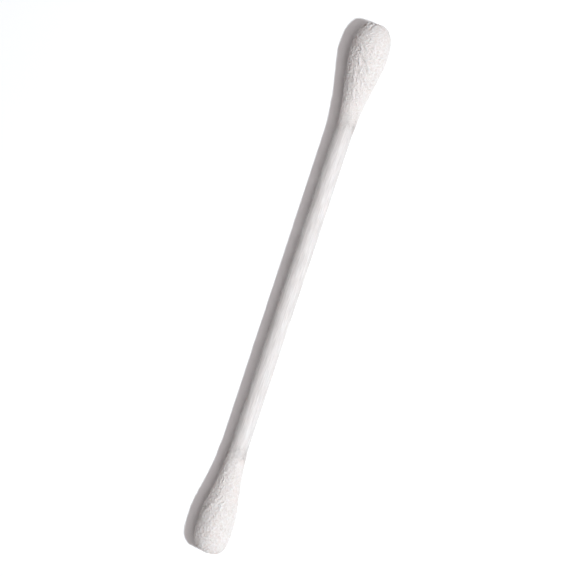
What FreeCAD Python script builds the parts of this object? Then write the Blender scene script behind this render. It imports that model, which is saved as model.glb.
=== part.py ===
# A double-ended cotton swab: a stick of tightly rolled paper with a wound cotton tip on each end.
#
# Millimetres. X runs along the swab, from the slim tip to the full tip. The swab lies on its two tips on the
# plane Z = 0, and the origin is on that plane, under the middle of the swab.

import FreeCAD, Part

import math
import os

from FreeCAD import Vector

# The whole swab
overall_length = 76.0
resting_flat_depth = 0.06  # the soft cotton gives this much where a tip touches the table

# The stick, one sheet of paper rolled up tight and glued, whose outer edge shows as a lap along it
stem_diameter = 2.50
paper_thickness = 0.08
lap_angle = -25.0  # degrees about the stick, from +Y towards +Z
end_cover = 1.8  # cotton between the end of the stick and the end of the swab

# The full tip, at +X. Its outline is a blunt dome from the end to the widest section, then a belly arc, a
# straight run and a waist arc down to the stick.
full_diameter = 5.28
full_dome_length = 4.2
full_taper_length = 11.2  # widest section to the feathered edge
full_end_fullness = 0.40  # share of the radius for which the end runs straight across
full_crown_fullness = 1.0  # share of the dome's length for which it runs level to the widest section
full_steepness = 1.41  # the straight run's slope over the whole taper's, from 1 to 2
full_belly_share = 0.23  # the belly arc's radius over the sum of both arcs'
full_sideways = 0.14  # how far off the stick's axis the cotton was wound, at the widest section

# The slim tip, at -X
slim_diameter = 4.96
slim_dome_length = 4.2
slim_taper_length = 11.0
slim_end_fullness = 1.0
slim_crown_fullness = 0.60
slim_steepness = 1.57
slim_belly_share = 0.31
slim_sideways = -0.16

# Both tips
neck_wall = 0.05  # the feathered edge, where the cotton thins out on the stick
dome_spans = 2

half_length = overall_length / 2
stem_radius = stem_diameter / 2
stem_length = overall_length - 2 * end_cover


def rolled_paper_section():
    """The stick's cross-section at its -X end: one turn of a spiral, closed by the edge of the paper.

    The spiral is four quarter arcs. Each has a radius smaller than the last by a quarter of the paper's
    thickness, and its centre moves towards the point where they meet, so they join with no corner.
    """
    step = paper_thickness / 4
    start_x = -stem_length / 2

    def direction(degrees):
        turn = math.radians(lap_angle + degrees)
        return Vector(0, math.cos(turn), math.sin(turn))

    centre = Vector(start_x, 0, 0)
    edges = []
    for quarter in range(4):
        radius = stem_radius - quarter * step
        low, high = 90 * quarter, 90 * (quarter + 1)
        points = [centre + direction(angle) * radius for angle in (low, (low + high) / 2, high)]
        edges.append(Part.Arc(*points).toShape())
        centre = centre + direction(high) * step
    lap_inner = edges[-1].Vertexes[-1].Point
    lap_outer = edges[0].Vertexes[0].Point
    edges.append(Part.LineSegment(lap_inner, lap_outer).toShape())
    return Part.Face(Part.Wire(edges))


def rolled_paper_stick():
    """The whole stick, straight along X."""
    return rolled_paper_section().extrude(Vector(stem_length, 0, 0))


def dome_curves(place, widest, dome_length, end_fullness, crown_fullness):
    """The dome's outline, square to the axis at the end and level at the widest section.

    It is one cubic Bezier curve, cut into even spans to keep the turned faces short.
    """
    handles = [
        place(0, 0),
        place(0, widest * end_fullness),
        place(dome_length * (1 - crown_fullness), widest),
        place(dome_length, widest),
    ]
    curves = []
    for span in range(dome_spans):
        curve = Part.BezierCurve()
        curve.setPoles(handles)
        curve.segment(span / dome_spans, (span + 1) / dome_spans)
        curves.append(curve)
    return curves


def taper_curves(place, widest, dome_length, taper_length, steepness, belly_share):
    """The taper's outline: a belly arc, a straight run and a waist arc, level at both ends.

    With the run's slope given, the sum of the arcs' radii is the one length at which two arcs and a line
    tangent to both fall from the widest radius to the neck's over the taper's length.
    """
    neck = stem_radius + neck_wall
    end = dome_length + taper_length
    fall = widest - neck
    slope = steepness * math.atan2(fall, taper_length)
    both_radii = (taper_length * math.sin(slope) - fall * math.cos(slope)) / (1 - math.cos(slope))
    belly_radius = belly_share * both_radii
    waist_radius = both_radii - belly_radius

    def belly(angle):
        drop = belly_radius * (1 - math.cos(angle))
        return place(dome_length + belly_radius * math.sin(angle), widest - drop)

    def waist(angle):
        height = waist_radius * (1 - math.cos(angle))
        return place(end - waist_radius * math.sin(angle), neck + height)

    return [
        Part.Arc(belly(0), belly(slope / 2), belly(slope)),
        Part.LineSegment(belly(slope), waist(slope)),
        Part.Arc(waist(slope), waist(slope / 2), waist(0)),
    ]


def cotton_tip(end, stick, diameter, dome_length, taper_length, end_fullness, crown_fullness,
               steepness, belly_share, sideways):
    """One wound tip at the +X end (end = 1) or the -X end (end = -1), before it is laid down.

    It is turned from its outline, leaned so that its widest section stands sideways of the stick, and
    fitted over the stick, which leaves it a blind socket of the stick's own section.
    """
    widest = diameter / 2

    def place(distance, radius):
        """The point of the outline at a distance from the end of the swab."""
        return Vector(end * (half_length - distance), 0, radius)

    outline = dome_curves(place, widest, dome_length, end_fullness, crown_fullness)
    outline += taper_curves(place, widest, dome_length, taper_length, steepness, belly_share)
    neck_edge = outline[-1].EndPoint
    neck_centre = place(dome_length + taper_length, 0)
    outline += [Part.LineSegment(neck_edge, neck_centre), Part.LineSegment(neck_centre, place(0, 0))]
    section = Part.Face(Part.Wire([curve.toShape() for curve in outline]))
    tip = section.revolve(Vector(0, 0, 0), Vector(1, 0, 0), 360)
    lean = math.degrees(math.atan(sideways / (end * taper_length)))
    tip.rotate(neck_centre, Vector(0, 0, 1), lean)
    return tip.cut(stick)


def resting_placement():
    """Lays the straight swab down so that both tips give by the same depth where they touch the table."""
    full_height = full_diameter / 2 - resting_flat_depth
    slim_height = slim_diameter / 2 - resting_flat_depth
    full_x = half_length - full_dome_length
    slim_x = -(half_length - slim_dome_length)
    slope = (full_height - slim_height) / (full_x - slim_x)
    axis_height = full_height - slope * full_x
    tilt = math.degrees(math.atan(slope))
    return FreeCAD.Placement(Vector(0, 0, axis_height), FreeCAD.Rotation(Vector(0, 1, 0), -tilt))


def below_the_table():
    """Everything under the table, to press the tips' flats with."""
    width = 4 * max(full_diameter, slim_diameter)
    length = 2 * overall_length
    return Part.makeBox(length, width, width, Vector(-length / 2, -width / 2, -width))


def main():
    stick = rolled_paper_stick()
    full_tip = cotton_tip(
        1,
        stick,
        full_diameter,
        full_dome_length,
        full_taper_length,
        full_end_fullness,
        full_crown_fullness,
        full_steepness,
        full_belly_share,
        full_sideways,
    )
    slim_tip = cotton_tip(
        -1,
        stick,
        slim_diameter,
        slim_dome_length,
        slim_taper_length,
        slim_end_fullness,
        slim_crown_fullness,
        slim_steepness,
        slim_belly_share,
        slim_sideways,
    )
    resting = resting_placement()
    table = below_the_table()
    pieces = {
        "paper_stem": stick.transformed(resting.toMatrix()),
        "full_cotton_tip": full_tip.transformed(resting.toMatrix()).cut(table),
        "slim_cotton_tip": slim_tip.transformed(resting.toMatrix()).cut(table),
    }
    os.makedirs("parts", exist_ok=True)
    for name, shape in pieces.items():
        shape.exportStep(f"parts/{name}.step")
        box = shape.optimalBoundingBox()
        print(f"{name}: {shape.Volume:.1f} mm3, {box.XLength:.1f} x {box.YLength:.1f} x {box.ZLength:.1f}")


main()
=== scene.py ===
import itertools

import bpy
import numpy as np
from mathutils import Matrix, Vector


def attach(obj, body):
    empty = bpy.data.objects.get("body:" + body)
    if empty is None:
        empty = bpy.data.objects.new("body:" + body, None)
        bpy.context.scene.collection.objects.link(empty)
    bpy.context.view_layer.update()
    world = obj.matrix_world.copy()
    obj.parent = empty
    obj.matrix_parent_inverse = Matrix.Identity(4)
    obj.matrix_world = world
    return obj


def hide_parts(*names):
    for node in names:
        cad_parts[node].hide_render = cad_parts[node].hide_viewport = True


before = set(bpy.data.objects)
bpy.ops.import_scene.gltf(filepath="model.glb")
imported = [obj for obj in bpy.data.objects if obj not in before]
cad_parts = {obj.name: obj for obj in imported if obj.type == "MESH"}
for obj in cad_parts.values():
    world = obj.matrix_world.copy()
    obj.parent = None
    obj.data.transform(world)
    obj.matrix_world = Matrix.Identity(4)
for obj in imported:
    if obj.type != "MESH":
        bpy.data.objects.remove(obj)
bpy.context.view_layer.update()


# The stick
# One sheet of white paper, rolled up tight and glued, so it is solid through. The sheet's outer edge stays
# as a lap along its whole length. It hangs clear of the table between the two cotton tips.

MM = 0.001  # sizes are in millimetres, and meshes are in metres

stick_length = 72.4
stick_radius = 1.25
paper_thickness = 0.08
lap_angle = np.radians(-25)  # about the stick, from +Y towards +Z
axis_height = 2.5  # under the middle of the swab
axis_slope = 0.16 / 67.6  # the full tip holds the stick up a little higher than the slim tip does
grain_depth = 0.004
grain_cell = (5.0, 0.22, 0.22)  # long, narrow fibres in the sheet
grain_seed = 11
wave_depth = 0.007
wave_cell = (9.0, 1.3, 1.3)
wave_seed = 12
sharp_turn = np.radians(50)  # only the lap and the rims of the end faces turn more than this


def soft_noise(points, cell, seed):
    """Smooth noise from -1 to 1: random values on a lattice of that cell, a length or three lengths.

    The eight corners round a point are blended with the weight 3t^2 - 2t^3 along each direction.
    """
    lattice = np.random.default_rng(seed).uniform(-1, 1, (32, 32, 32))
    place = points / np.asarray(cell)
    corner = np.floor(place).astype(int)
    share = place - corner
    share = share * share * (3 - 2 * share)
    total = 0
    for step in itertools.product((0, 1), repeat=3):
        weight = np.where(step, share, 1 - share).prod(axis=-1)
        x, y, z = np.moveaxis((corner + step) % 32, -1, 0)
        total = total + weight * lattice[x, y, z]
    return total


def rolled_radius(angle):
    """The rolled paper's radius: it loses one paper thickness evenly in the turn from the lap back to it."""
    turn = np.mod((angle - lap_angle) / (2 * np.pi), 1.0)
    return stick_radius - paper_thickness * turn


def about_the_axis(x, angle, radius, sideways=0.0):
    """Points at an angle and a radius about the swab's axis, which rises with x by its slope."""
    y = radius * np.cos(angle) + sideways
    z = radius * np.sin(angle) + axis_height + axis_slope * x
    return np.stack(np.broadcast_arrays(x, y, z), axis=-1)


def rows_of_quads(rows, columns):
    """The faces of a grid of points that closes on itself from the last column to the first."""
    row, column = np.meshgrid(np.arange(rows - 1), np.arange(columns), indexing="ij")
    following = (column + 1) % columns
    corners = (row * columns + column, row * columns + following,
               (row + 1) * columns + following, (row + 1) * columns + column)
    return np.stack(corners, axis=-1).reshape(-1, 4)


def fan(centre, ring):
    """Triangles from one point to each side of a closed ring of points."""
    return np.stack([np.full(len(ring), centre), ring, np.roll(ring, -1)], axis=-1)


def new_piece(name, points, quads, triangles, material):
    """A closed, smoothly shaded piece of the swab from points in millimetres, riding on the one body."""
    mesh = bpy.data.meshes.new(name)
    loops = np.concatenate([quads.ravel(), triangles.ravel()])
    sizes = np.concatenate([np.full(len(quads), 4), np.full(len(triangles), 3)])
    mesh.vertices.add(len(points))
    mesh.vertices.foreach_set("co", (points * MM).astype(np.float32).ravel())
    mesh.loops.add(len(loops))
    mesh.loops.foreach_set("vertex_index", loops.astype(np.int32))
    mesh.polygons.add(len(sizes))
    mesh.polygons.foreach_set("loop_start", (np.cumsum(sizes) - sizes).astype(np.int32))
    mesh.update(calc_edges=True)
    mesh.validate()
    mesh.shade_smooth()
    mesh.materials.append(material)
    piece = bpy.data.objects.new(name, mesh)
    bpy.context.scene.collection.objects.link(piece)
    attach(piece, "root")
    return piece


def paper():
    """White paper: matt, with faint streaks of grain along the roll in its colour and its relief."""
    material = bpy.data.materials.new("rolled_white_paper")
    material.use_nodes = True
    nodes, links = material.node_tree.nodes, material.node_tree.links
    shader = nodes["Principled BSDF"]
    shader.inputs["Roughness"].default_value = 0.68
    shader.inputs["Specular IOR Level"].default_value = 0.3
    shader.inputs["Subsurface Weight"].default_value = 0.15
    shader.inputs["Subsurface Radius"].default_value = (1.0, 0.7, 0.6)
    shader.inputs["Subsurface Scale"].default_value = 0.0003
    place = nodes.new("ShaderNodeTexCoord")
    along = nodes.new("ShaderNodeMapping")
    along.inputs["Scale"].default_value = (450, 6000, 6000)
    grain = nodes.new("ShaderNodeTexNoise")
    grain.inputs["Scale"].default_value = 1.0
    grain.inputs["Detail"].default_value = 5.0
    grain.inputs["Roughness"].default_value = 0.6
    tone = nodes.new("ShaderNodeValToRGB")
    tone.color_ramp.elements[0].position = 0.30
    tone.color_ramp.elements[0].color = (0.568, 0.526, 0.506, 1)
    tone.color_ramp.elements[1].position = 0.70
    tone.color_ramp.elements[1].color = (0.772, 0.735, 0.716, 1)
    relief = nodes.new("ShaderNodeBump")
    relief.inputs["Strength"].default_value = 0.5
    relief.inputs["Distance"].default_value = 0.00004
    links.new(place.outputs["Object"], along.inputs["Vector"])
    links.new(along.outputs["Vector"], grain.inputs["Vector"])
    links.new(grain.outputs["Fac"], tone.inputs["Fac"])
    links.new(grain.outputs["Fac"], relief.inputs["Height"])
    links.new(tone.outputs["Color"], shader.inputs["Base Color"])
    links.new(relief.outputs["Normal"], shader.inputs["Normal"])
    return material


def roll_the_stick():
    """The roll's section carried along the stick, closed by the paper's edge at the lap and two end faces.

    The grain is noise stretched along the stick, and slow waves in the roll lie under it.
    """
    columns, rows = 200, 260
    angle = lap_angle + np.linspace(0, 2 * np.pi, columns)
    x = np.linspace(-stick_length / 2, stick_length / 2, rows)[:, None]
    radius = stick_radius - paper_thickness * np.linspace(0, 1, columns)
    flat = about_the_axis(x, angle, radius)
    grain = grain_depth * soft_noise(flat, grain_cell, grain_seed)
    waves = wave_depth * soft_noise(flat, wave_cell, wave_seed)
    points = about_the_axis(x, angle, radius + grain + waves).reshape(-1, 3)
    ends = about_the_axis(np.array([x[0, 0], x[-1, 0]]), 0.0, 0.0)
    points = np.concatenate([points, ends])
    first_ring = np.arange(columns)
    last_ring = first_ring + (rows - 1) * columns
    caps = np.concatenate([fan(rows * columns, first_ring[::-1]), fan(rows * columns + 1, last_ring)])
    stick = new_piece("rolled_stick", points, rows_of_quads(rows, columns), caps, paper())
    stick.data.set_sharp_from_angle(angle=sharp_turn)
    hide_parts("paper_stem")


roll_the_stick()


# The two cotton tips
# Bleached cotton fibre, wound round and round the stick's end as it spins, then pressed smooth. Tufts and
# single fibres cross each other at a slant. The blunt ends keep small folds where the fibre was turned in,
# and the other edge thins out and frays on the stick.

swab_length = 76.0
tip_reach = 1.8  # cotton between the end of the stick and the end of the swab
neck_film = 0.05  # the cotton where it thins out on the stick
least_film = 0.006  # the cotton stays this far outside the paper
film_sag = 0.030  # how much the film thins further at its very edge
fray_depth = 1.1  # how far back the film's edge is frayed at most
fray_cell = 0.3
table_softness = 0.02  # how gently the cotton turns into its flat spot on the table
outline_steps = 320
around_steps = 300
socket_steps = 8
full_thickness = 0.35  # cotton this thick over the stick carries the whole relief
thin_share = 0.25  # share of the relief that the thinnest cotton carries
plain_height = 0.35  # the strand height where nothing stands out or lies deep, from 0 to twice this
height_spread = 0.12
edge_height_fall = 0.07
streaks_along = 2.9  # per millimetre
streaks_around = 6.0
one_way, other_way = 0.28, -0.42  # radians that the streaks turn in a millimetre

# How deep each part of the relief is. Lumps and the crease have their greatest depth here, and the rest
# their standard deviation.
lump_depth = 0.022
lump_cell = 3.1
small_lump_depth = 0.010
small_lump_cell = 0.9
broad_depth = 0.011
thin_depth = 0.012
crossing_depth = 0.013
fibre_depth = 0.024
fold_depth = 0.026
fold_reach = 2.3  # the folds fade out over this run from the middle of the end
crease_depth = 0.022
crease_place = 1.8  # from the end of the swab
crease_width = 0.16
crease_turn = 0.6  # in radians, which side of the tip the crease is deepest on

full_tip = {
    "name": "full_tip", "node": "full_cotton_tip", "end": 1, "widest": 2.64, "dome": 4.2, "taper": 11.2,
    "end_fullness": 0.40, "crown_fullness": 1.0, "steepness": 1.41, "belly_share": 0.23, "sideways": 0.14,
    "shoulder": 0.0, "nap": 0.84, "seed": 3,
}
slim_tip = {
    "name": "slim_tip", "node": "slim_cotton_tip", "end": -1, "widest": 2.48, "dome": 4.2, "taper": 11.0,
    "end_fullness": 1.0, "crown_fullness": 0.60, "steepness": 1.57, "belly_share": 0.31, "sideways": -0.16,
    "shoulder": 1.0, "nap": 0.76, "seed": 8,
}


def tip_outline(tip):
    """Distances from the end of the swab and radii, at even steps along the tip's outline.

    The dome is a cubic Bezier curve, square to the axis at the end and level at the widest section. The
    taper is a belly arc, a straight run and a waist arc, which fall from the widest radius to the neck's.
    """
    widest, dome, taper = tip["widest"], tip["dome"], tip["taper"]
    t = np.linspace(0, 1, 600)
    early, late = 3 * t * (1 - t) ** 2, 3 * t * t * (1 - t)
    dome_distance = late * dome * (1 - tip["crown_fullness"]) + t ** 3 * dome
    dome_radius = early * widest * tip["end_fullness"] + late * widest + t ** 3 * widest
    neck = stick_radius + neck_film
    fall = widest - neck
    slope = tip["steepness"] * np.arctan2(fall, taper)
    both_radii = (taper * np.sin(slope) - fall * np.cos(slope)) / (1 - np.cos(slope))
    belly = tip["belly_share"] * both_radii
    waist = both_radii - belly
    turn = np.linspace(0, slope, 100)
    belly_distance = dome + belly * np.sin(turn)
    belly_radius = widest - belly * (1 - np.cos(turn))
    waist_distance = dome + taper - waist * np.sin(turn[::-1])
    waist_radius = neck + waist * (1 - np.cos(turn[::-1]))
    distance = np.concatenate([dome_distance, belly_distance[1:], waist_distance])
    radius = np.concatenate([dome_radius, belly_radius[1:], waist_radius])
    run = np.concatenate([[0], np.cumsum(np.hypot(np.diff(distance), np.diff(radius)))])
    even = np.linspace(0, run[-1], outline_steps)
    return even, np.interp(even, run, distance), np.interp(even, run, radius)


def lay_strands(tip, rng, count, length, slant, spread, band=(0.0, 1.0)):
    """Paths of strands laid on the tip, as angles about the axis and runs along the outline.

    They start evenly over the area of the band, a share of the whole run, and each goes at its slant from
    the stick's direction, which wanders a little. Its angle grows by its sideways step over the radius
    there.
    """
    run, distance, radius = tip["outline"]
    area = radius * (run >= band[0] * run[-1]) * (run <= band[1] * run[-1])
    steps = 40
    wander = np.radians(3.0)
    least_radius = 0.35  # keeps strands from spinning round the middle of the end
    stride = rng.uniform(0.5, 1.5, (count, 1)) * length / steps
    heading = np.radians(slant + spread * rng.standard_normal((count, 1)))
    heading = heading + np.cumsum(wander * rng.standard_normal((count, steps)), axis=1)
    start = np.interp(rng.uniform(0, 1, (count, 1)), np.cumsum(area) / area.sum(), run)
    path = np.abs(start + np.cumsum(stride * np.cos(heading), axis=1))
    turn = stride * np.sin(heading) / np.maximum(np.interp(path, run, radius), least_radius)
    return rng.uniform(0, 2 * np.pi, (count, 1)) + np.cumsum(turn, axis=1), path


def pressed_relief(tip, rng, width, **strands):
    """The relief of strands laid and pressed into the tip: a map of its grid, of mean 0 and deviation 1.

    Each point of a strand adds its weight, which fades to nothing at the strand's ends and past the edge
    on the stick, to the four nearest points of the grid. A Gaussian curve of the strand's width then
    smooths the map both ways, and the same map at four times the width is taken off, so that each strand
    stands out from what lies round it.
    """
    angle, path = lay_strands(tip, rng, **strands)
    run = tip["outline"][0]
    ends = np.sin(np.linspace(0, np.pi, angle.shape[1]))
    weight = np.where(path < run[-1], ends, 0).ravel()
    column = np.mod(angle.ravel() / (2 * np.pi), 1) * around_steps
    row = np.minimum(path.ravel() / run[-1], 1) * (outline_steps - 1)
    total = np.zeros((outline_steps, around_steps))
    for down, across in itertools.product((0, 1), repeat=2):
        near_row = np.minimum(np.floor(row).astype(int) + down, outline_steps - 1)
        near_column = (np.floor(column).astype(int) + across) % around_steps
        share = np.abs(1 - down - row % 1) * np.abs(1 - across - column % 1)
        np.add.at(total, (near_row, near_column), weight * share)
    mirrored = np.concatenate([total, total[::-1]])
    row_rate = np.fft.fftfreq(2 * outline_steps) / (run[-1] / (outline_steps - 1))
    usual_radius = 0.75 * tip["widest"]
    column_rate = np.fft.fftfreq(around_steps) / (2 * np.pi * usual_radius / around_steps)
    rate = 2 * np.pi ** 2 * (row_rate[:, None] ** 2 + column_rate[None, :] ** 2)
    kept = np.exp(-width ** 2 * rate) - np.exp(-(4 * width) ** 2 * rate)
    pressed = np.fft.ifft2(np.fft.fft2(mirrored) * kept).real[:outline_steps]
    return pressed / pressed.std()


def wind_tip(tip):
    """Works out the tip's surface: its outline turned about the axis, with the cotton's relief added.

    The relief stands along the outline's normal. It is the sum of slow lumps, broad tufts, thin tufts and
    fibres both ways, the folds of the blunt end and the crease at its shoulder. It doubles towards the
    stick, where the cotton is wound on looser, and is lower where the cotton is thin. The edge on the stick
    is frayed back by noise, takes the rolled paper's section and stays outside it. High powers of the share
    of the taper that is passed bring these in near the edge only. The whole tip leans sideways from the
    edge to the end, and the table bends its underside up: z becomes the mean of itself and of the root of
    its square plus the softness squared.
    """
    rng = np.random.default_rng(tip["seed"])
    run, distance, radius = tip["outline"] = tip_outline(tip)
    angle = np.linspace(0, 2 * np.pi, around_steps, endpoint=False)
    lift_distance, lift_radius = -np.gradient(radius, run), np.gradient(distance, run)
    plain = about_the_axis(-distance[:, None], angle, radius[:, None])
    lumps = lump_depth * soft_noise(plain, lump_cell, tip["seed"])
    small_lumps = small_lump_depth * soft_noise(plain, small_lump_cell, tip["seed"] + 1)
    broad = pressed_relief(tip, rng, width=0.13, count=400, length=5.0, slant=28, spread=20)
    thin = pressed_relief(tip, rng, width=0.060, count=2600, length=2.4, slant=34, spread=26)
    crossing = pressed_relief(tip, rng, width=0.055, count=2600, length=1.5, slant=-52, spread=24)
    fibres = pressed_relief(tip, rng, width=0.045, count=9000, length=1.8, slant=8, spread=60)
    folds = pressed_relief(tip, rng, width=0.09, count=60, length=1.4, slant=18, spread=40, band=(0.0, 0.11))
    near_end = np.exp(-(run / fold_reach) ** 2)[:, None]
    shoulder = tip["shoulder"] * np.exp(-((distance - crease_place) / crease_width) ** 2)[:, None]
    crease = crease_depth * shoulder * (1 + np.sin(angle + crease_turn))
    strands = thin_depth * thin + crossing_depth * crossing + fibre_depth * fibres
    fine = tip["nap"] * strands - fold_depth * near_end * folds
    relief = lumps + small_lumps + broad_depth * broad + fine - crease
    stick_side = np.clip((distance - tip["dome"]) / tip["taper"], 0, 1)[:, None]
    thickness = np.clip(thin_share + (radius - stick_radius) / full_thickness, 0, 1)[:, None]
    relief = relief * np.where(stick_side > 0, (1 + stick_side) * thickness, 1.0)
    relief[0] = relief[0].mean()
    round_the_edge = plain[-1] * [0, 1, 1] + [tip["seed"], 0, 0]
    frayed = np.clip(0.5 + soft_noise(round_the_edge, fray_cell, tip["seed"] + 2), 0, 1)
    gap = distance[:, None] + relief * lift_distance[:, None] - fray_depth * frayed * stick_side ** 10
    out = radius[:, None] + relief * lift_radius[:, None]
    out = out + (rolled_radius(angle) - stick_radius) * stick_side ** 6
    out = out - film_sag * stick_side ** 16
    out = np.where(stick_side > 0.2, np.maximum(out, rolled_radius(angle) + least_film), out)
    sideways = tip["sideways"] * (1 - np.clip((distance - tip["dome"]) / tip["taper"], -1, 1))[:, None]
    points = about_the_axis(tip["end"] * (swab_length / 2 - gap), angle, out, sideways)
    z = points[..., 2]
    points[..., 2] = (z + np.sqrt(z * z + table_softness ** 2)) / 2
    tip["surface"] = points
    # The strand height also sets the cotton's painted shade: low strands, in the hollows, are coloured
    # darker and warmer.
    height = np.clip(plain_height + height_spread * fine / fine.std(), 0, 2 * plain_height)
    tip["height"] = height - edge_height_fall * stick_side ** 8
    return points


def cotton():
    """Wound cotton: matt and soft, with painted shade that makes it warmer and a little darker in the
    hollows between its strands.

    Its tone follows the height of the strands plus a fifth of the finer streaks. These are noise on the
    piece's own winding attributes, which turn with the distance along the tip, so that they run round it at
    a slant both ways and have no seam.
    """
    material = bpy.data.materials.new("wound_white_cotton")
    material.use_nodes = True
    nodes, links = material.node_tree.nodes, material.node_tree.links
    shader = nodes["Principled BSDF"]
    shader.inputs["Roughness"].default_value = 0.95
    shader.inputs["Specular IOR Level"].default_value = 0.12
    shader.inputs["Sheen Weight"].default_value = 0.02
    shader.inputs["Sheen Roughness"].default_value = 0.6
    shader.inputs["Subsurface Weight"].default_value = 0.15
    shader.inputs["Subsurface Radius"].default_value = (1.0, 0.7, 0.6)
    shader.inputs["Subsurface Scale"].default_value = 0.0003
    heights = []
    for name in ("winding_one_way", "winding_other_way"):
        wound = nodes.new("ShaderNodeAttribute")
        wound.attribute_name = name
        streaks = nodes.new("ShaderNodeTexNoise")
        streaks.inputs["Scale"].default_value = 1.0
        streaks.inputs["Detail"].default_value = 3.0
        streaks.inputs["Roughness"].default_value = 0.55
        streaks.inputs["Distortion"].default_value = 0.3
        links.new(wound.outputs["Vector"], streaks.inputs["Vector"])
        heights.append(streaks.outputs["Fac"])
    both = nodes.new("ShaderNodeMath")
    both.operation = "ADD"
    links.new(heights[0], both.inputs[0])
    links.new(heights[1], both.inputs[1])
    stands = nodes.new("ShaderNodeAttribute")
    stands.attribute_name = "strand_height"
    level = nodes.new("ShaderNodeMath")
    level.operation = "MULTIPLY_ADD"
    level.inputs[1].default_value = 0.2
    links.new(both.outputs["Value"], level.inputs[0])
    links.new(stands.outputs["Fac"], level.inputs[2])
    # Painted shade: where the strands lie low, in the hollows, the tone goes to the darker, warmer colour.
    tone = nodes.new("ShaderNodeValToRGB")
    tone.color_ramp.elements[0].position = 0.25
    tone.color_ramp.elements[0].color = (0.702, 0.629, 0.592, 1)
    tone.color_ramp.elements[1].position = 0.75
    tone.color_ramp.elements[1].color = (0.815, 0.780, 0.766, 1)
    links.new(level.outputs["Value"], tone.inputs["Fac"])
    links.new(tone.outputs["Color"], shader.inputs["Base Color"])
    relief = nodes.new("ShaderNodeBump")
    relief.inputs["Strength"].default_value = 1.0
    relief.inputs["Distance"].default_value = 0.00011
    links.new(both.outputs["Value"], relief.inputs["Height"])
    links.new(relief.outputs["Normal"], shader.inputs["Normal"])
    return material


def fit_tip(tip, material):
    """The closed tip: its outer surface, then the socket's wall and floor, which touch the stick.

    Its points carry the height of its strands and, for the streaks, where they are on cylinders that turn
    one way and the other with the distance from the end.
    """
    outer = wind_tip(tip)
    angle = np.linspace(0, 2 * np.pi, around_steps, endpoint=False)
    neck_x = np.abs(outer[-1, :, 0])
    floor_x = swab_length / 2 - tip_reach
    depth = np.linspace(0, 1, socket_steps)[:, None]
    wall_x = tip["end"] * (neck_x + (floor_x - neck_x) * depth)
    wall = about_the_axis(wall_x, angle, rolled_radius(angle))
    rings = np.concatenate([outer[1:], wall])
    poles = np.stack([outer[0].mean(axis=0), about_the_axis(tip["end"] * floor_x, 0.0, 0.0)])
    points = np.concatenate([rings.reshape(-1, 3), poles])
    rows = len(rings)
    first_ring = np.arange(around_steps)
    last_ring = first_ring + (rows - 1) * around_steps
    quads = rows_of_quads(rows, around_steps)
    caps = np.concatenate([
        fan(rows * around_steps, first_ring[::-1]),
        fan(rows * around_steps + 1, last_ring),
    ])
    if tip["end"] == 1:
        quads, caps = quads[:, ::-1], caps[:, ::-1]
    piece = new_piece(tip["name"], points, quads, caps, material)
    distance, radius = tip["outline"][1][:, None], tip["outline"][2][:, None]
    for name, twist in (("winding_one_way", one_way), ("winding_other_way", other_way)):
        turned = angle + twist * distance
        wound = np.stack(np.broadcast_arrays(
            streaks_along * distance,
            streaks_around * radius * np.cos(turned),
            streaks_around * radius * np.sin(turned),
        ), axis=-1)
        inner = np.zeros((len(wall), around_steps, 3))
        values = np.concatenate([wound[1:].reshape(-1, 3), inner.reshape(-1, 3), wound[:1, 0], inner[:1, 0]])
        layer = piece.data.attributes.new(name, "FLOAT_VECTOR", "POINT")
        layer.data.foreach_set("vector", values.astype(np.float32).ravel())
    heights = np.full(len(points), plain_height)
    heights[:outer[1:, :, 0].size] = tip["height"][1:].ravel()
    layer = piece.data.attributes.new("strand_height", "FLOAT", "POINT")
    layer.data.foreach_set("value", heights.astype(np.float32))
    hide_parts(tip["node"])


wound_cotton = cotton()
fit_tip(full_tip, wound_cotton)
fit_tip(slim_tip, wound_cotton)


# The loose fibres on the tips
# Single cotton fibres that the pressing left proud of each tip. Most lie along the surface, some bow away
# from it, a few stand out by one end, and some near the edge reach past it onto the stick. Each is held
# where it is caught in the winding.

fibre_count = 300
neck_fibre_count = 160
neck_fibre_reach = 1.4  # past the cotton's edge
fibre_radius = 0.010
fibre_end_share = 0.35  # of its radius is left at a fibre's ends
fibre_points = 9
least_height = 1.3 * fibre_radius  # of a fibre's middle above the table
edge_margin = 0.1  # a fibre leaves the winding this far before the winding's edge
lying_lift = 0.004  # the middle of a lying fibre, above the surface
usual_bow, widest_bow = 0.020, 0.15
loose_share = 0.06  # of the fibres stand out by one end
loose_lift = (0.08, 0.30)


def on_the_tip(tip, angle, path, lift):
    """Points above the tip's surface, and the way out from it there, at angles and runs along its outline.

    The surface's grid is blended from its four nearest points. The way out is the cross product of its two
    directions.
    """
    surface = tip["surface"]
    along = np.gradient(surface, axis=0)
    around = np.roll(surface, -1, axis=1) - np.roll(surface, 1, axis=1)
    out = tip["end"] * np.cross(along, around)
    out = out / np.maximum(np.linalg.norm(out, axis=-1, keepdims=True), 1e-12)
    row = path / tip["outline"][0][-1] * (outline_steps - 1)
    column = np.mod(angle / (2 * np.pi), 1) * around_steps
    point, way = 0, 0
    for down, across in itertools.product((0, 1), repeat=2):
        near_row = np.clip(np.floor(row).astype(int) + down, 1, outline_steps - 1)
        near_column = (np.floor(column).astype(int) + across) % around_steps
        share = (np.abs(1 - down - row % 1) * np.abs(1 - across - column % 1))[..., None]
        point = point + share * surface[near_row, near_column]
        way = way + share * out[near_row, near_column]
    way = way / np.linalg.norm(way, axis=-1, keepdims=True)
    return point + lift[..., None] * way, way


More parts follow.
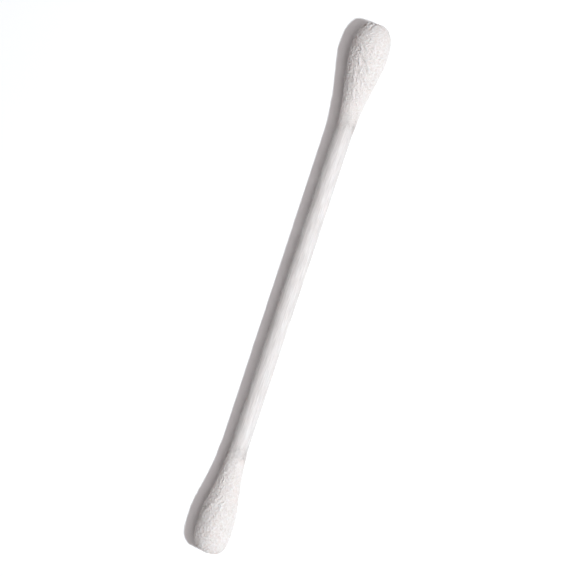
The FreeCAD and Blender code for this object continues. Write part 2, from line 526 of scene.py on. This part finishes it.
def loose_cotton():
    """A single cotton fibre: matt, a little paler or yellower from one place to the next."""
    material = bpy.data.materials.new("loose_cotton")
    material.use_nodes = True
    nodes, links = material.node_tree.nodes, material.node_tree.links
    shader = nodes["Principled BSDF"]
    shader.inputs["Roughness"].default_value = 0.85
    shader.inputs["Specular IOR Level"].default_value = 0.2
    place = nodes.new("ShaderNodeTexCoord")
    patches = nodes.new("ShaderNodeTexNoise")
    patches.inputs["Scale"].default_value = 900
    tone = nodes.new("ShaderNodeValToRGB")
    tone.color_ramp.elements[0].position = 0.35
    tone.color_ramp.elements[0].color = (0.760, 0.710, 0.685, 1)
    tone.color_ramp.elements[1].position = 0.65
    tone.color_ramp.elements[1].color = (0.840, 0.803, 0.785, 1)
    links.new(place.outputs["Object"], patches.inputs["Vector"])
    links.new(patches.outputs["Fac"], tone.inputs["Fac"])
    links.new(tone.outputs["Color"], shader.inputs["Base Color"])
    return material


def lay_loose_fibres(tip, material):
    """Three-sided tubes along strands laid on the tip, all closed.

    A tube is thickest at its middle, and its radius falls towards its ends with the root of the sine of
    half a turn. Past the edge it goes straight on along the stick.
    """
    rng = np.random.default_rng(tip["seed"] + 40)
    over_the_tip = lay_strands(tip, rng, count=fibre_count, length=3.2, slant=15, spread=55)
    at_the_neck = lay_strands(
        tip, rng, count=neck_fibre_count, length=1.9, slant=5, spread=32, band=(0.84, 0.98))
    angle, path = np.concatenate([over_the_tip, at_the_neck], axis=1)
    edge = tip["outline"][0][-1] - edge_margin
    stays = path.max(axis=1) < edge + neck_fibre_reach
    picked = np.linspace(0, angle.shape[1] - 1, fibre_points).astype(int)
    angle, path = angle[stays][:, picked], path[stays][:, picked]
    count = len(angle)
    t = np.linspace(0, 1, fibre_points)
    bow = np.minimum(rng.exponential(usual_bow, (count, 1)), widest_bow) * np.sin(np.pi * t)
    loose = rng.uniform(0, 1, (count, 1)) < loose_share
    loose_end = np.where(loose, rng.uniform(*loose_lift, (count, 1)), 0) * t ** 3
    centre, way = on_the_tip(tip, angle, np.minimum(path, edge), lying_lift + bow + loose_end)
    centre[..., 0] -= tip["end"] * np.maximum(path - edge, 0)
    centre[..., 2] = np.maximum(centre[..., 2], least_height)
    ahead = np.gradient(centre, axis=1)
    ahead = ahead / np.linalg.norm(ahead, axis=-1, keepdims=True)
    side = np.cross(way, ahead)
    side = side / np.linalg.norm(side, axis=-1, keepdims=True)
    up = np.cross(ahead, side)
    fullness = fibre_end_share + (1 - fibre_end_share) * np.sqrt(np.sin(np.pi * t))
    thickness = (fibre_radius * fullness)[:, None, None]
    turn = np.array([1 / 2, 7 / 6, 11 / 6])[:, None] * np.pi
    ring = np.cos(turn) * side[:, :, None] + np.sin(turn) * up[:, :, None]
    points = (centre[:, :, None] + thickness * ring).reshape(-1, 3)
    first = np.arange(count)[:, None] * 3 * fibre_points
    quads = (first[..., None] + rows_of_quads(fibre_points, 3)).reshape(-1, 4)
    near_end, far_end = first + [2, 1, 0], first + 3 * (fibre_points - 1) + [0, 1, 2]
    new_piece(tip["name"] + "_fibres", points, quads, np.concatenate([near_end, far_end]), material)


single_fibre = loose_cotton()
lay_loose_fibres(full_tip, single_fibre)
lay_loose_fibres(slim_tip, single_fibre)


# The table, the lamp and the camera
# The swab lies on a plain white table. A small lamp hangs on the swab's -Y side, nearer the slim tip, and
# casts a close, fairly crisp shadow. A wide screen nearly overhead, a faint warm reflector on the other
# side and the dim room fill the shadow. The camera looks straight down.

table_size = 3.0
lamp_place = Vector((-0.018, -0.1735, 0.3440))
lamp_width = 0.027
lamp_watts = 1.43
lamp_colour = (0.90, 0.96, 1.0)
screen_place = Vector((0.0, -0.18, 0.98))
screen_width = 0.54
screen_watts = 3.02
screen_colour = (1.0, 0.962, 0.970)
warm_place = Vector((0.0, 0.50, 0.87))
warm_width = 0.54
warm_watts = 0.10
warm_colour = (1.0, 0.48, 0.38)
room_light = (0.08, 0.077, 0.078)
table_colour = (0.982, 0.971, 0.968)
lens_length = 120
film_width = 36
view_height = 0.263  # above the swab's axis
photo_right = Vector((0.3142, -0.9494, 0.0))
photo_up = Vector((0.9494, 0.3142, 0.0))
view_centre = Vector((-0.00012, 0.00058, 0.0025))

table_mesh = bpy.data.meshes.new("white_table")
reach = table_size / 2
table_mesh.from_pydata(
    [(-reach, -reach, 0), (reach, -reach, 0), (reach, reach, 0), (-reach, reach, 0)], [], [(0, 1, 2, 3)])
white_table = bpy.data.objects.new("white_table", table_mesh)
bpy.context.scene.collection.objects.link(white_table)
table_white = bpy.data.materials.new("table_white")
table_white.use_nodes = True
table_shader = table_white.node_tree.nodes["Principled BSDF"]
table_shader.inputs["Base Color"].default_value = (*table_colour, 1)
table_shader.inputs["Roughness"].default_value = 1.0
table_shader.inputs["Specular IOR Level"].default_value = 0.0
table_mesh.materials.append(table_white)


def hang_light(name, place, width, watts, colour):
    """A round studio light at a place, which faces the middle of the swab: its -Z axis points there."""
    light = bpy.data.lights.new(name, "AREA")
    light.shape = "DISK"
    light.size = width
    light.energy = watts
    light.color = colour
    hung = bpy.data.objects.new(name, light)
    bpy.context.scene.collection.objects.link(hung)
    hung.matrix_world = Matrix.Translation(place) @ place.to_track_quat("Z", "Y").to_matrix().to_4x4()


hang_light("studio_lamp", lamp_place, lamp_width, lamp_watts, lamp_colour)
hang_light("studio_screen", screen_place, screen_width, screen_watts, screen_colour)
hang_light("warm_reflector", warm_place, warm_width, warm_watts, warm_colour)

room = bpy.data.worlds.new("dim_room")
room.use_nodes = True
room.node_tree.nodes["Background"].inputs["Color"].default_value = (*room_light, 1)
bpy.context.scene.world = room

lens = bpy.data.cameras.new("straight_down")
lens.lens = lens_length
lens.sensor_width = film_width
lens.clip_start = 0.01
lens.clip_end = 10
camera = bpy.data.objects.new("straight_down", lens)
bpy.context.scene.collection.objects.link(camera)
towards_camera = photo_right.cross(photo_up)
turned = Matrix((photo_right, photo_up, towards_camera)).transposed().to_4x4()
camera.matrix_world = Matrix.Translation(view_centre + view_height * towards_camera) @ turned
bpy.context.scene.camera = camera
bpy.context.scene.view_settings.view_transform = "Standard"
